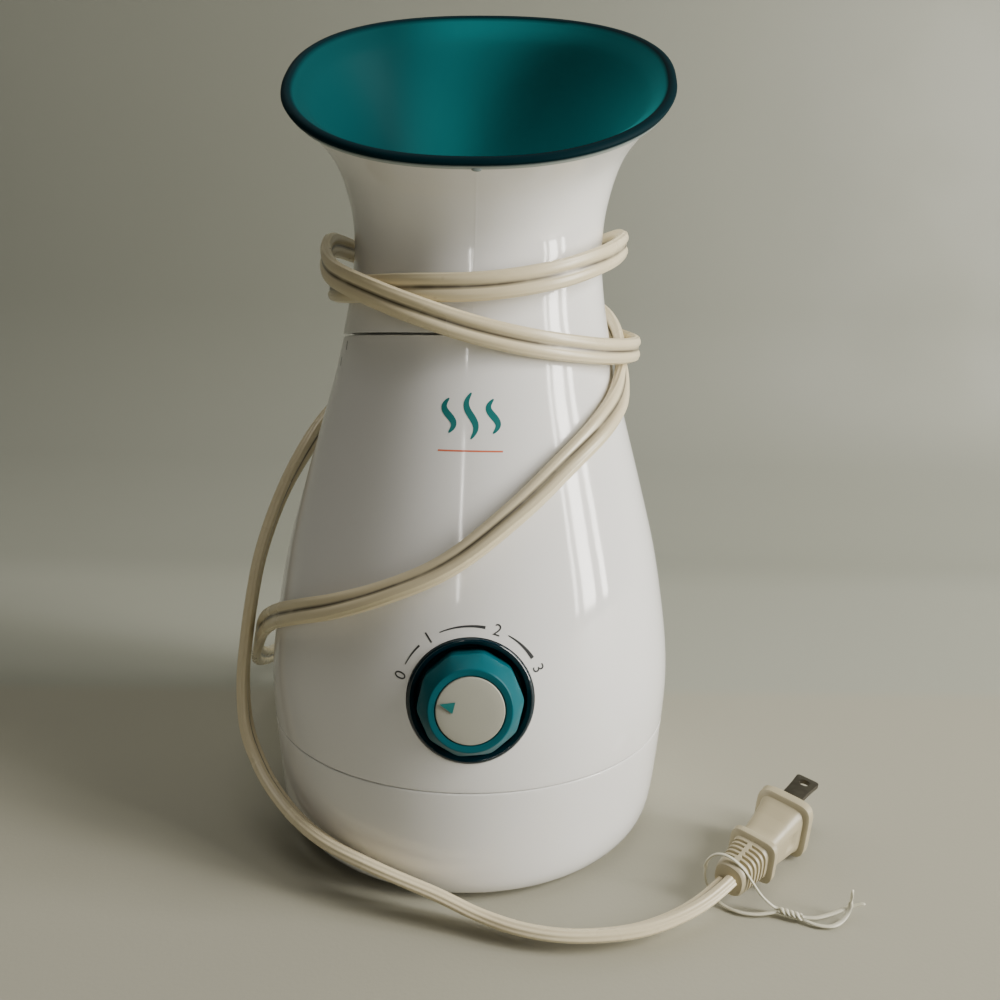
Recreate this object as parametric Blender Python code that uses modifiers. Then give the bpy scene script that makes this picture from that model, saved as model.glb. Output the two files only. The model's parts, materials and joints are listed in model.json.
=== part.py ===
"""A facial steamer: a bottle-shaped body with a lift-off nozzle head, a tank inside, a dial and its lead.

Metres, +Z up. The dial looks along -Y, and the turning axis of the body is the empty's own Z.
"""

import bmesh
import bpy
import numpy as np
from math import cos, pi, radians, sin
from mathutils import Euler, Matrix, Vector

for old in list(bpy.data.objects):
    bpy.data.objects.remove(old)

# ---- driving dimensions ----
SIDES = 40                     # facets round the casings
GAP = 0.0003                   # air between pieces that nearly touch
WALL = 0.0022                  # moulded casing wall
AXIS_Y = 0.0035                # body axis behind the origin, so that the box is centred
BODY_RADIUS = 0.0646           # widest place of the casing
BASE_SEAM_Z = 0.0352
NECK_SEAM_Z = 0.1528
LINER_RADIUS = 0.0362
LINER_FLOOR_Z = 0.0560
LINER_TOP_Z = 0.1435
TANK_RADIUS = 0.0335
TANK_FLOOR_Z = 0.0600
TANK_TOP_Z = 0.1120
VALVE_X = 0.0265                # the tank's valve stands off the axis
PIPE_RADIUS = 0.0055
DIAL_Z = 0.0605
DIAL_TILT = radians(6.0)       # the dial's axis leans up, square to the wall
DIAL_WALL_R = 0.0637           # wall radius at the dial's height
BEZEL_RADIUS = 0.0165
KNOB_RADIUS = 0.0135
HEAD_TURN = radians(-4.0)      # the head stands a little turned on its seat
CORD_RADIUS = 0.0014
PLUG_HEADING = radians(45.0)   # from +Y towards +X
PLUG_PITCH = radians(2.0)
PLUG_ROLL = radians(5.0)
PLUG_AT = Vector((0.0710, -0.0615, 0.0082))

parts = bpy.data.collections.new("facial_steamer")
cutters = bpy.data.collections.new("cutters")
bpy.context.scene.collection.children.link(parts)
bpy.context.scene.collection.children.link(cutters)
cutters.hide_render = True


def linear(code):
    """An sRGB hex colour as linear RGBA."""
    out = []
    for i in (0, 2, 4):
        value = int(code[i:i + 2], 16) / 255
        out.append(value / 12.92 if value <= 0.04045 else ((value + 0.055) / 1.055) ** 2.4)
    return (*out, 1.0)


def material(name, code, roughness, metallic=0.0):
    made = bpy.data.materials.new(name)
    made.use_nodes = True
    shader = made.node_tree.nodes["Principled BSDF"]
    shader.inputs["Base Color"].default_value = linear(code)
    shader.inputs["Roughness"].default_value = roughness
    shader.inputs["Metallic"].default_value = metallic
    return made


def empty(name, parent=None, location=(0, 0, 0), rotation=(0, 0, 0)):
    made = bpy.data.objects.new(name, None)
    made.location = location
    made.rotation_euler = rotation
    made.parent = parent
    parts.objects.link(made)
    return made


frame = empty("body_axis", None, (0, AXIS_Y, 0))
head_axis = empty("head_axis", frame, (0, 0, NECK_SEAM_Z), (0, 0, HEAD_TURN))
dial_axis = empty("dial_axis", frame, (0, -DIAL_WALL_R, DIAL_Z), (pi / 2 - DIAL_TILT, 0, 0))


def add(name, data, finish, parent=frame, location=(0, 0, 0), rotation=(0, 0, 0)):
    """Links an object of the steamer and gives it its own material: (colour, roughness, metallic)."""
    obj = bpy.data.objects.new(name, data)
    obj.location = location
    obj.rotation_euler = rotation
    obj.parent = parent
    parts.objects.link(obj)
    data.materials.append(material(name + "_finish", *finish))
    return obj


def as_cutter(obj):
    parts.objects.unlink(obj)
    cutters.objects.link(obj)
    obj.hide_render = True
    obj.display_type = "WIRE"
    return obj


def cut(obj, cutter, operation="DIFFERENCE"):
    boolean = obj.modifiers.new(cutter.name, "BOOLEAN")
    boolean.object = cutter
    boolean.operation = operation


def turned(name, outline, finish, closed=True, steps=SIDES, **place):
    """A turned piece. The outline is (radius, height) pairs, top to bottom on the outer side."""
    mesh = bpy.data.meshes.new(name)
    count = len(outline)
    edges = [(i, i + 1) for i in range(count - 1)]
    if closed:
        edges.append((count - 1, 0))
    mesh.from_pydata([(r, 0, z) for r, z in outline], edges, [])
    obj = add(name, mesh, finish, **place)
    screw = obj.modifiers.new("turn", "SCREW")
    screw.steps = screw.render_steps = steps
    screw.use_merge_vertices = True
    screw.merge_threshold = 0.00005
    screw.use_normal_calculate = False
    return obj


def disc(name, radius, top, bottom, finish, **place):
    outline = [(0, top), (radius, top), (radius, bottom), (0, bottom)]
    return turned(name, outline, finish, closed=False, **place)


def ring(name, outer, inner, top, bottom, finish, **place):
    outline = [(inner, top), (outer, top), (outer, bottom), (inner, bottom)]
    return turned(name, outline, finish, **place)


def block(name, size, finish, bevel=0.0, **place):
    """A box with rounded edges."""
    form = bmesh.new()
    bmesh.ops.create_cube(form, size=1, matrix=Matrix.Diagonal((*size, 1)))
    mesh = bpy.data.meshes.new(name)
    form.to_mesh(mesh)
    form.free()
    obj = add(name, mesh, finish, **place)
    if bevel:
        rounding = obj.modifiers.new("rounding", "BEVEL")
        rounding.width = bevel
        rounding.segments = 2
    return obj


def tube(name, points, radius, finish, sides=2, **place):
    """A round tube with filled ends along a poly line."""
    curve = bpy.data.curves.new(name, "CURVE")
    curve.dimensions = "3D"
    curve.bevel_depth = radius
    curve.bevel_resolution = sides
    curve.use_fill_caps = True
    line = curve.splines.new("POLY")
    line.points.add(len(points) - 1)
    for i, point in enumerate(points):
        line.points[i].co = (*point, 1)
    return add(name, curve, finish, **place)


def smooth_through(rows, steps):
    """A Catmull-Rom curve through rows of numbers, with so many steps from each row to the next."""
    rows = np.array(rows, float)
    ends = np.vstack([2 * rows[0] - rows[1], rows, 2 * rows[-1] - rows[-2]])
    out = []
    for i in range(len(rows) - 1):
        a, b, c, d = ends[i:i + 4]
        for t in np.arange(steps) / steps:
            out.append(0.5 * (2 * b + (c - a) * t + (2 * a - 5 * b + 4 * c - d) * t * t
                              + (3 * b - a - 3 * c + d) * t ** 3))
    out.append(rows[-1])
    return np.array(out)


# ---- finishes ----
WHITE = ("ECECEA", 0.22)
TEAL = ("0B8087", 0.30)
DARK_TEAL = ("06303A", 0.15)
CREAM = ("D6CDB4", 0.45)
STEEL = ("8C8A84", 0.35, 1.0)
BRASS = ("B08D4A", 0.35, 1.0)
CLEAR = ("B9D3D2", 0.10)
RUBBER = ("B4B4B0", 0.80)
BOARD = ("2F6B3C", 0.50)
BLACK = ("1C1D1F", 0.50)
ALLOY = ("A9ABAD", 0.40, 1.0)

# ---- casings: one outline from the foot to the neck seam ----
BODY_OUTLINE = [                # (height, radius)
    (0.0012, 0.0572), (0.0040, 0.0603), (0.0090, 0.0619), (0.0190, 0.0630), (0.0352, 0.0642),
    (0.0480, BODY_RADIUS), (0.0600, 0.0637), (0.0740, 0.0615), (0.0900, 0.0583), (0.1080, 0.0534),
    (0.1260, 0.0482), (0.1410, 0.0439), (0.1526, 0.0412),
]


def wall(low, high, count):
    """(radius, height) pairs up the casing's outer face."""
    fine = smooth_through(BODY_OUTLINE, 8)
    heights = np.linspace(low, high, count)
    return [(float(np.interp(z, fine[:, 0], fine[:, 1])), float(z)) for z in heights]


def shell_outline(low, high, count):
    """The closed outline of a casing: down the outer face, then up the inner one."""
    outer = wall(low, high, count)
    inner = [(r - WALL, z) for r, z in outer]
    return outer[::-1] + inner


base_wall = wall(0.0012, BASE_SEAM_Z - GAP / 2, 8)
base_wall[1] = (0.0605, 0.0042)
base_inner = [(r - WALL, z) for r, z in base_wall[1:]]
base_ring = turned("base_ring", base_wall[::-1] + [(0.0530, 0.0012), (0.0530, 0.0042)] + base_inner, WHITE)

body_shell = turned("body_shell", shell_outline(BASE_SEAM_Z + GAP / 2, 0.1526, 10), WHITE)
dial_hole = as_cutter(disc("dial_hole", BEZEL_RADIUS + GAP, 0.010, -0.012, WHITE, parent=dial_axis))
cut(body_shell, dial_hole)
gland_hole = as_cutter(disc("gland_hole", 0.0048, 0.010, -0.010, WHITE, location=(0, 0.0630, 0.0175),
                            rotation=(pi / 2, 0, 0)))
cut(base_ring, gland_hole)

# ---- base plate, feet and screws ----
base_plate = disc("base_plate", 0.0527, 0.0036, 0.0012, WHITE)
for i in range(4):
    turn = radians(49 + 90 * i)
    spot = (0.0430 * cos(turn), 0.0430 * sin(turn), 0)
    disc(f"foot_{i + 1}", 0.0062, 0.0020, 0.0, RUBBER, location=spot, steps=20)
    pocket = as_cutter(disc(f"foot_pocket_{i + 1}", 0.0066, 0.0024, 0.0005, WHITE, location=spot, steps=20))
    cut(base_plate, pocket)
    turn = radians(4 + 90 * i)
    spot = (0.0460 * cos(turn), 0.0460 * sin(turn), 0)
    screw_outline = [(0, 0.0100), (0.0013, 0.0100), (0.0013, 0.0034), (0.0028, 0.0034), (0.0028, 0.0018), (0, 0.0018)]
    turned(f"base_screw_{i + 1}", screw_outline, STEEL, closed=False, location=spot, steps=16)
    bore = as_cutter(disc(f"screw_hole_{i + 1}", 0.0032, 0.0050, 0.0005, WHITE, location=spot, steps=16))
    cut(base_plate, bore)

# ---- inside: liner, boiler and its parts ----
liner_outline = [
    (0.0385, LINER_TOP_Z), (0.0385, LINER_TOP_Z - 0.0015), (LINER_RADIUS, LINER_TOP_Z - 0.0015),
    (LINER_RADIUS, LINER_FLOOR_Z), (0.0068, LINER_FLOOR_Z), (0.0068, LINER_FLOOR_Z + 0.0015),
    (LINER_RADIUS - 0.0015, LINER_FLOOR_Z + 0.0015), (LINER_RADIUS - 0.0015, LINER_TOP_Z),
]
inner_liner = turned("inner_liner", liner_outline, WHITE)
seat_hole = as_cutter(disc("seat_hole", 0.0045, 0.070, 0.050, WHITE, location=(VALVE_X, 0, 0)))
cut(inner_liner, seat_hole)

boiler_outline = [
    (0, 0.0255), (0.0185, 0.0255), (0.0185, 0.0468), (0.0045, 0.0488), (0.0045, 0.0502), (0.0060, 0.0502),
    (0.0200, 0.0484), (0.0200, 0.0240), (0, 0.0240),
]
turned("boiler", boiler_outline, ALLOY, closed=False, steps=32)
disc("heater_plate", 0.0190, 0.0236, 0.0196, ALLOY, steps=32)
ring("boiler_gasket", 0.0212, 0.0204, 0.0300, 0.0270, RUBBER, steps=32)
block("thermostat", (0.0110, 0.0110, 0.0060), BLACK, 0.0008, location=(0.0070, 0, 0.0160))
block("thermal_fuse", (0.0100, 0.0040, 0.0040), CREAM, 0.0006, location=(-0.0090, 0, 0.0170))
ring("steam_pipe", PIPE_RADIUS, 0.0042, 0.1340, 0.0506, CLEAR, steps=24)
ring("pipe_seal", 0.0064, PIPE_RADIUS + GAP, 0.0590, 0.0555, RUBBER, steps=24)
valve_seat = [
    (0.0024, 0.0592), (0.0042, 0.0592), (0.0042, 0.0535), (0.0035, 0.0535), (0.0035, 0.0500), (0.0024, 0.0500),
]
turned("valve_seat", valve_seat, RUBBER, location=(VALVE_X, 0, 0), steps=20)
hose_points = smooth_through([(VALVE_X, 0, 0.0496), (0.0282, 0, 0.0450), (0.0288, 0, 0.0400), (0.0272, 0, 0.0348),
                              (0.0235, 0, 0.0324), (0.0207, 0, 0.0322)], 3)
tube("water_hose", hose_points, 0.0022, RUBBER)
block("control_board", (0.0340, 0.0016, 0.0280), BOARD, location=(0, 0.0420, 0.0300))
block("ioniser_module", (0.0180, 0.0090, 0.0120), BLACK, 0.0008, location=(-0.0340, 0.0120, 0.0220))
block("cord_clamp", (0.0180, 0.0060, 0.0070), WHITE, 0.0008, location=(0, 0.0510, 0.0105))

# ---- dial: bezel, switch and knob, all turned about the dial's own axis ----
bezel_outline = [
    (0.0145, 0.0020), (BEZEL_RADIUS, 0.0020), (BEZEL_RADIUS, -0.0064), (0.0042, -0.0064),
    (0.0042, -0.0048), (0.0138, -0.0048),
]
dial_bezel = turned("dial_bezel", bezel_outline, DARK_TEAL, parent=dial_axis)
face_outline = [(r + 0.0005, z) for r, z in wall(DIAL_Z - 0.026, DIAL_Z + 0.026, 9)]
face = [(0, face_outline[-1][1])] + face_outline[::-1] + [(0, face_outline[0][1])]
bezel_face = as_cutter(turned("bezel_face", face, DARK_TEAL, closed=False))
cut(dial_bezel, bezel_face, "INTERSECT")

block("rotary_switch", (0.0200, 0.0200, 0.0090), BLACK, 0.0008, parent=dial_axis, location=(0, 0, -0.0140))
shaft_way = as_cutter(disc("shaft_way", 0.0034, 0.004, -0.030, BLACK, parent=dial_axis, steps=24))
cut(bpy.data.objects["rotary_switch"], shaft_way)
ring("switch_nut", 0.0055, 0.0036, -0.0068, -0.0090, STEEL, parent=dial_axis, steps=6)
disc("switch_shaft", 0.0030, 0.0020, -0.0180, BRASS, parent=dial_axis, steps=20)

knob_outline = [
    (0, 0.0058), (0.0088, 0.0058), (0.0088, 0.0066), (0.0103, 0.0066), (0.0108, 0.0062), (KNOB_RADIUS, 0.0020),
    (KNOB_RADIUS - 0.0003, -0.0043), (0.0110, -0.0043), (0.0090, 0.0030), (0.0055, 0.0030), (0.0055, -0.0043),
    (0.0033, -0.0043), (0.0033, 0.0024), (0, 0.0024),
]
turned("dial_knob", knob_outline, TEAL, closed=False, parent=dial_axis, steps=32)
dial_cap = disc("dial_cap", 0.0085, 0.0070, 0.0061, ("E4E4E0", 0.45), parent=dial_axis, steps=32)


def pointer_shape(name, grow, low, high, finish):
    """The triangle that points to the chosen mark, as a flat prism."""
    curve = bpy.data.curves.new(name, "CURVE")
    curve.dimensions = "2D"
    curve.fill_mode = "BOTH"
    curve.extrude = (high - low) / 2
    line = curve.splines.new("POLY")
    line.use_cyclic_u = True
    turn = radians(167)
    corners = [(0.0080, 0), (0.0041, 0.0022), (0.0041, -0.0022)]
    middle = 0.0052
    line.points.add(2)
    for i, (x, y) in enumerate(corners):
        x = middle + (x - middle) * grow
        y = y * grow
        line.points[i].co = (x * cos(turn) - y * sin(turn), x * sin(turn) + y * cos(turn), 0, 1)
    return add(name, curve, finish, parent=dial_axis, location=(0, 0, (low + high) / 2))


def meshed(obj):
    """The same object as a mesh, with its caps welded on."""
    graph = bpy.context.evaluated_depsgraph_get()
    mesh = bpy.data.meshes.new_from_object(obj.evaluated_get(graph))
    form = bmesh.new()
    form.from_mesh(mesh)
    bmesh.ops.remove_doubles(form, verts=form.verts, dist=0.00001)
    bmesh.ops.recalc_face_normals(form, faces=form.faces)
    form.to_mesh(mesh)
    form.free()
    name, parent, spot, turn = obj.name, obj.parent, obj.location.copy(), obj.rotation_euler.copy()
    bpy.data.objects.remove(obj)
    made = bpy.data.objects.new(name, mesh)
    made.parent = parent
    made.location = spot
    made.rotation_euler = turn
    parts.objects.link(made)
    return made


bpy.context.view_layer.update()
dial_pointer = meshed(pointer_shape("dial_pointer", 0.80, 0.0068, 0.0071, TEAL))
pocket = as_cutter(meshed(pointer_shape("pointer_pocket", 1.10, 0.0065, 0.0080, TEAL)))
cut(dial_cap, pocket)

# ---- water tank, lifted out by its handle ----
tank_outline = [
    (TANK_RADIUS, TANK_TOP_Z), (TANK_RADIUS, TANK_FLOOR_Z), (0.0072, TANK_FLOOR_Z), (0.0072, TANK_TOP_Z),
    (0.0084, TANK_TOP_Z), (0.0084, TANK_FLOOR_Z + 0.0014), (TANK_RADIUS - 0.0014, TANK_FLOOR_Z + 0.0014),
    (TANK_RADIUS - 0.0014, TANK_TOP_Z),
]
tank_body = turned("tank_body", tank_outline, CLEAR)
valve_way = as_cutter(disc("valve_way", 0.0030, 0.070, 0.050, CLEAR, location=(VALVE_X, 0, 0), steps=20))
cut(tank_body, valve_way)
plunger_outline = [
    (0, 0.0670), (0.0046, 0.0670), (0.0046, 0.0654), (0.0012, 0.0654), (0.0012, 0.0562), (0, 0.0562),
]
turned("valve_plunger", plunger_outline, RUBBER, closed=False, location=(VALVE_X, 0, 0), steps=20)
handle_arc = [(0.0297 * cos(t), 0.0136, TANK_TOP_Z + GAP + 0.0140 * sin(t)) for t in np.linspace(0, pi, 13)]
tube("tank_handle", handle_arc, 0.0012, STEEL)

# ---- head: stations of the oval flare, lower end to rim ----
HEAD_STATIONS = [               # centre y, centre z, lean, half width, half depth
    (0.0000, 0.1530, 0.0, 0.0414, 0.0414),
    (0.0000, 0.1665, 2.0, 0.0390, 0.0390),
    (0.0000, 0.1805, 8.0, 0.0378, 0.0383),
    (-0.0011, 0.1945, 18.0, 0.0390, 0.0410),
    (-0.0045, 0.2095, 28.5, 0.0438, 0.0460),
    (-0.0118, 0.2248, 38.0, 0.0550, 0.0533),
]
RIM_SQUARENESS = 2.28
RIM_TAPER = -0.09               # the front of the mouth is a little narrower than the back
station_rows = smooth_through(HEAD_STATIONS, 8)


def oval(share, inset=0.0, along=0.0, radius=None):
    """Points of the head's cross-section at a share of its height, from 0 at the seam to 1 at the rim."""
    place = share * (len(station_rows) - 1)
    y, z, lean, across, deep = [np.interp(place, range(len(station_rows)), station_rows[:, i]) for i in range(5)]
    lean = radians(lean)
    power = 2 / (2 + (RIM_SQUARENESS - 2) * share)
    across, deep = (across - inset, deep - inset) if radius is None else (radius, radius)
    out = []
    for i in range(SIDES):
        turn = 2 * pi * i / SIDES
        s, c = sin(turn), -cos(turn)
        x = across * np.sign(s) * abs(s) ** power * (1 - RIM_TAPER * share * c)
        v = deep * np.sign(c) * abs(c) ** power
        out.append((x, y + v * cos(lean) - along * sin(lean), z + v * sin(lean) + along * cos(lean) - NECK_SEAM_Z))
    return out


def lofted(name, rings, finish):
    """A closed wall through rings of points: up the outer face, over the top and down the inner one."""
    form = bmesh.new()
    loops = [[form.verts.new(point) for point in points] for points in rings]
    for here, above in zip(loops, loops[1:] + loops[:1]):
        for i in range(SIDES):
            j = (i + 1) % SIDES
            form.faces.new((here[i], here[j], above[j], above[i]))
    mesh = bpy.data.meshes.new(name)
    form.to_mesh(mesh)
    form.free()
    return add(name, mesh, finish, parent=head_axis)


def level(radius, height):
    """A level round ring of the head, at a height above the floor."""
    turns = [2 * pi * i / SIDES for i in range(SIDES)]
    return [(radius * sin(t), -radius * cos(t), height - NECK_SEAM_Z) for t in turns]


up = np.linspace(0, 0.965, 9)
shell_rings = [level(0.0382, 0.1462), level(0.0382, 0.1528)] + [oval(s) for s in up]
shell_rings += [oval(s, WALL) for s in up[:0:-1]] + [level(0.0366, 0.1560), level(0.0366, 0.1462)]
lofted("head_shell", shell_rings, WHITE)

deep_inset = WALL + GAP + 0.0002
lip = 0.0016
down = np.linspace(0.955, 0.28, 6)
funnel_rings = [level(0.0122, 0.1600), level(0.0340, 0.1620)]
funnel_rings += [oval(s, deep_inset) for s in down[::-1]]
funnel_rings += [oval(0.975, deep_inset), oval(0.975, -0.0004), oval(1.0, -0.0004, -0.0002), oval(1.0, 0.0004, 0.0006)]
funnel_rings += [oval(1.0, 0.0022, 0.0004), oval(0.975, deep_inset + lip)]
funnel_rings += [oval(s, deep_inset + lip) for s in down[1:]]
funnel_rings += [level(0.0324, 0.1636), level(0.0122, 0.1616)]
lofted("funnel", funnel_rings, TEAL)

duct_outline = [(0.0090, 0.1595), (0.0118, 0.1592), (0.0090, 0.1540), (0.0090, 0.1352), (0.0076, 0.1352), (0.0076, 0.1560)]
turned("head_duct", [(r, z - NECK_SEAM_Z) for r, z in duct_outline], TEAL, parent=head_axis, steps=24)
seal_outline = [(0.0366, 0.1458), (0.0385, 0.1458), (0.0385, 0.1439), (0.0366, 0.1439)]
turned("head_seal", [(r, z - NECK_SEAM_Z) for r, z in seal_outline], RUBBER, parent=head_axis)

# ---- mains lead: wound round the body and neck, then laid on the table ----
# Each row is the turn about the body's axis in degrees (0 at the dial, growing towards +X),
# the distance from that axis and the height, in millimetres.
CORD_ROUTE = [
    (-180, 90.3, 17.5), (-179.5, 100, 16.4), (-177.6, 112.1, 14.6), (-173.3, 123.9, 12.6), (-166.5, 132.7, 11.2),
    (-158.4, 135.6, 10.8), (-149.7, 132, 12), (-140.9, 123.7, 15), (-131.5, 110.2, 20), (-120.2, 95.4, 27),
    (-108.5, 83.8, 36), (-97, 75.3, 45.5), (-86, 69.8, 55),
    (-74, 66.9, 64), (-61, 65.2, 71.5), (-47, 64.8, 77.3), (-34, 64.1, 82), (-20, 62.6, 88), (-6, 60.9, 95.5),
    (10, 57.5, 108), (26, 53.9, 120), (43, 50.8, 129.5),
    (61, 47.6, 137.5), (79, 45.3, 147), (96, 44.2, 156.5), (118, 43.9, 164.5), (150, 43.9, 170.5),
    (185, 43.9, 174.5), (220, 43.9, 178), (252, 44.2, 180.5), (272, 45, 179.5), (287, 46.4, 174.5),
    (302, 47.7, 169.2), (320, 47.8, 164), (338, 46.2, 158.8), (358, 44.8, 154), (380, 44.6, 150.8),
    (405, 45.1, 149.5), (423, 47.4, 149.7), (440, 49.2, 150.9), (457, 49.1, 153), (475, 47.3, 155.9),
    (495, 44.2, 159.5), (530, 43.9, 163.5), (570, 43.9, 166.8), (605, 43.9, 168), (632, 44.1, 167),
    (660, 43.9, 164.8), (690, 43.9, 164.2), (720, 43.9, 164.6), (745, 43.9, 168), (770, 43.9, 174),
    (795, 43.9, 180.5), (818, 43.9, 184.3), (838, 45.3, 184.2), (858, 47.9, 180), (880, 48.3, 171),
    (902, 48.4, 160.5), (925, 48.8, 149.5), (947, 50.5, 138.5), (967, 53.3, 127.5), (981, 56.6, 116.5),
    (989, 61.2, 105), (993, 65.2, 94), (996.5, 68.6, 82), (999.2, 70.9, 69.5), (1001.6, 72.6, 57.5),
    (1004.2, 73.7, 45.6), (1009, 73.1, 33), (1017.4, 70, 23), (1029.4, 67.1, 16.6), (1043, 66.4, 14),
    (1058, 66.6, 12.2), (1072, 67.6, 8.8), (1082.6, 70.6, 5), (1090, 75, 3.9), (1097, 79.4, 3.6), (1104, 83.1, 3.5),
    (1110.6, 86.6, 3.8), (1116.5, 89.3, 4.7), (1122.3, 91.7, 6.1), (1128.7, 93.9, 8.2),
]


def cord_points():
    """The route as points about 16 mm apart round the neck and 22 mm elsewhere, ending at the plug."""
    fine = []
    for turn, radius, height in smooth_through(CORD_ROUTE, 24):
        a = radians(turn)
        fine.append((0.001 * radius * sin(a), -0.001 * radius * cos(a), 0.001 * height, radius))
    fine = np.array(fine)
    steps = np.linalg.norm(np.diff(fine[:, :3], axis=0), axis=1)
    weights = steps / np.where(fine[1:, 3] < 51, 0.016, 0.022)
    along = np.concatenate([[0], np.cumsum(weights)])
    marks = np.linspace(0, along[-1], int(round(along[-1])) + 1)
    return np.array([[np.interp(m, along, fine[:, k]) for k in range(3)] for m in marks])


tube("mains_cord", cord_points(), CORD_RADIUS, CREAM)
strain_outline = [
    (0.0020, 0.0900), (0.0030, 0.0900), (0.0045, 0.0700), (0.0045, 0.0656), (0.0066, 0.0656), (0.0066, 0.0643),
    (0.0044, 0.0641), (0.0044, 0.0590), (0.0020, 0.0590),
]
turned("cord_gland", strain_outline, CREAM, location=(0, 0, 0.0175), rotation=(-pi / 2, 0, 0), steps=24)

# ---- plug: ribbed boot, two flanges and two blades, lying on the table ----
plug_axis = empty("plug_axis", frame, PLUG_AT)
plug_axis.rotation_euler = Euler((PLUG_PITCH, PLUG_ROLL, -PLUG_HEADING), "XYZ")


def squared(name, stations, finish, corner=4.0, sides=24, **place):
    """A closed form through rounded-square sections: (distance, half width, half height)."""
    form = bmesh.new()
    loops = []
    for y, across, high in stations:
        loop = []
        for i in range(sides):
            t = 2 * pi * (i + 0.5) / sides
            c, s = cos(t), sin(t)
            x = across * np.sign(c) * abs(c) ** (2 / corner)
            z = high * np.sign(s) * abs(s) ** (2 / corner)
            loop.append(form.verts.new((x, y, z)))
        loops.append(loop)
    for here, ahead in zip(loops, loops[1:]):
        for i in range(sides):
            j = (i + 1) % sides
            form.faces.new((here[j], here[i], ahead[i], ahead[j]))
    form.faces.new(loops[0])
    form.faces.new(loops[-1][::-1])
    bmesh.ops.recalc_face_normals(form, faces=form.faces)
    mesh = bpy.data.meshes.new(name)
    form.to_mesh(mesh)
    form.free()
    return add(name, mesh, finish, **place)


plug_stations = [
    (0.0000, 0.0034, 0.0040), (0.0012, 0.0042, 0.0046), (0.0130, 0.0050, 0.0050), (0.0144, 0.0057, 0.0060),
    (0.0164, 0.0057, 0.0060), (0.0172, 0.0050, 0.0054), (0.0320, 0.0058, 0.0074), (0.0338, 0.0070, 0.0085),
    (0.0368, 0.0070, 0.0085), (0.0376, 0.0064, 0.0079),
]
plug_body = squared("plug_body", plug_stations, CREAM, parent=plug_axis)
for i, side in enumerate((1, -1)):
    blade = block(f"plug_blade_{i + 1}", (0.0064, 0.0166, 0.0015), STEEL, parent=plug_axis,
                  location=(0, 0.0376 + 0.0083 + GAP, side * 0.00635))
    hole = as_cutter(disc(f"blade_hole_{i + 1}", 0.0016, 0.004, -0.004, STEEL, parent=plug_axis,
                          location=(0, 0.0510, side * 0.00635), steps=16))
    cut(blade, hole)
tie_points = []
for t in np.linspace(-0.7, 4.6, 16):
    tie_points.append((0.0063 * np.sign(cos(t)) * abs(cos(t)) ** 0.6, 0.0045 + 0.0007 * t,
                       0.0056 * np.sign(sin(t)) * abs(sin(t)) ** 0.6))
tie_tail = smooth_through([tie_points[0], (0.0100, 0.0050, -0.0046), (0.0172, 0.0088, -0.0057),
                           (0.0284, 0.0221, -0.0050)], 3)
tube("cord_tie", [tuple(p) for p in tie_tail[::-1][:-1]] + tie_points, 0.0006, ("D9D6C4", 0.5), parent=plug_axis)

for obj in parts.objects:
    if obj.type == "MESH":
        obj.data.shade_smooth()
        obj.data.set_sharp_from_angle(angle=radians(40))
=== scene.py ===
import json
import math

import bmesh
import bpy
import numpy as np
from mathutils import Matrix, Vector


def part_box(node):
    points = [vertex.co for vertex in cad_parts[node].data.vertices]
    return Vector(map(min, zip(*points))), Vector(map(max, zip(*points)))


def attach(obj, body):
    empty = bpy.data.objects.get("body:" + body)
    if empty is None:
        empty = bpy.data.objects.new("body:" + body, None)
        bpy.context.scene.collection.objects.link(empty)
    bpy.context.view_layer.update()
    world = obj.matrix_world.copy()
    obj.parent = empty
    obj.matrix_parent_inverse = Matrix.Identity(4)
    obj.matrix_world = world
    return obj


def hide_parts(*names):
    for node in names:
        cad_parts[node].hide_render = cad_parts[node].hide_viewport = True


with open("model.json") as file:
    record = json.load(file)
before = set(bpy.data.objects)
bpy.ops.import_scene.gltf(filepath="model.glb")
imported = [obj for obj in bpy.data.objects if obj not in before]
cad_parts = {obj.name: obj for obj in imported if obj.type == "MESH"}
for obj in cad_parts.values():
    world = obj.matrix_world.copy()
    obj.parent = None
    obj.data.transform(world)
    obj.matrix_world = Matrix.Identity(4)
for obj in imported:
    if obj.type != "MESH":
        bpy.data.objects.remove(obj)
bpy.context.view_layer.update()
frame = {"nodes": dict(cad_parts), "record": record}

# ---- Camera and studio ----
# The camera stands 24 cm in front of the body's axis, level with the neck, and looks a little down.
# A pale floor runs up into a grey-green wall, and window-like panels on the right light it softly.
wall_low, wall_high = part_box("body_shell")
axis_y = (wall_low.y + wall_high.y) / 2
axis = Matrix.Translation((0, axis_y, 0))

CAMERA_FAR = 0.2424
CAMERA_HIGH = 0.1454
camera_data = bpy.data.cameras.new("camera")
camera_data.lens = 27.04
camera_data.clip_start = 0.01
camera = bpy.data.objects.new("camera", camera_data)
bpy.context.scene.collection.objects.link(camera)
bpy.context.scene.camera = camera
looks_down = math.radians(10.31)
looks_right = math.radians(2.0)
leans = math.radians(1.41)
camera.matrix_world = (
    Matrix.Translation((0, axis_y - CAMERA_FAR, CAMERA_HIGH))
    @ Matrix.Rotation(-looks_right, 4, "Z")
    @ Matrix.Rotation(math.pi / 2 - looks_down, 4, "X")
    @ Matrix.Rotation(leans, 4, "Z")
)


def srgb(code):
    """An sRGB hex colour as linear RGBA."""
    parts = [int(code[i:i + 2], 16) / 255 for i in (0, 2, 4)]
    return (*[p / 12.92 if p <= 0.04045 else ((p + 0.055) / 1.055) ** 2.4 for p in parts], 1.0)


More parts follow.
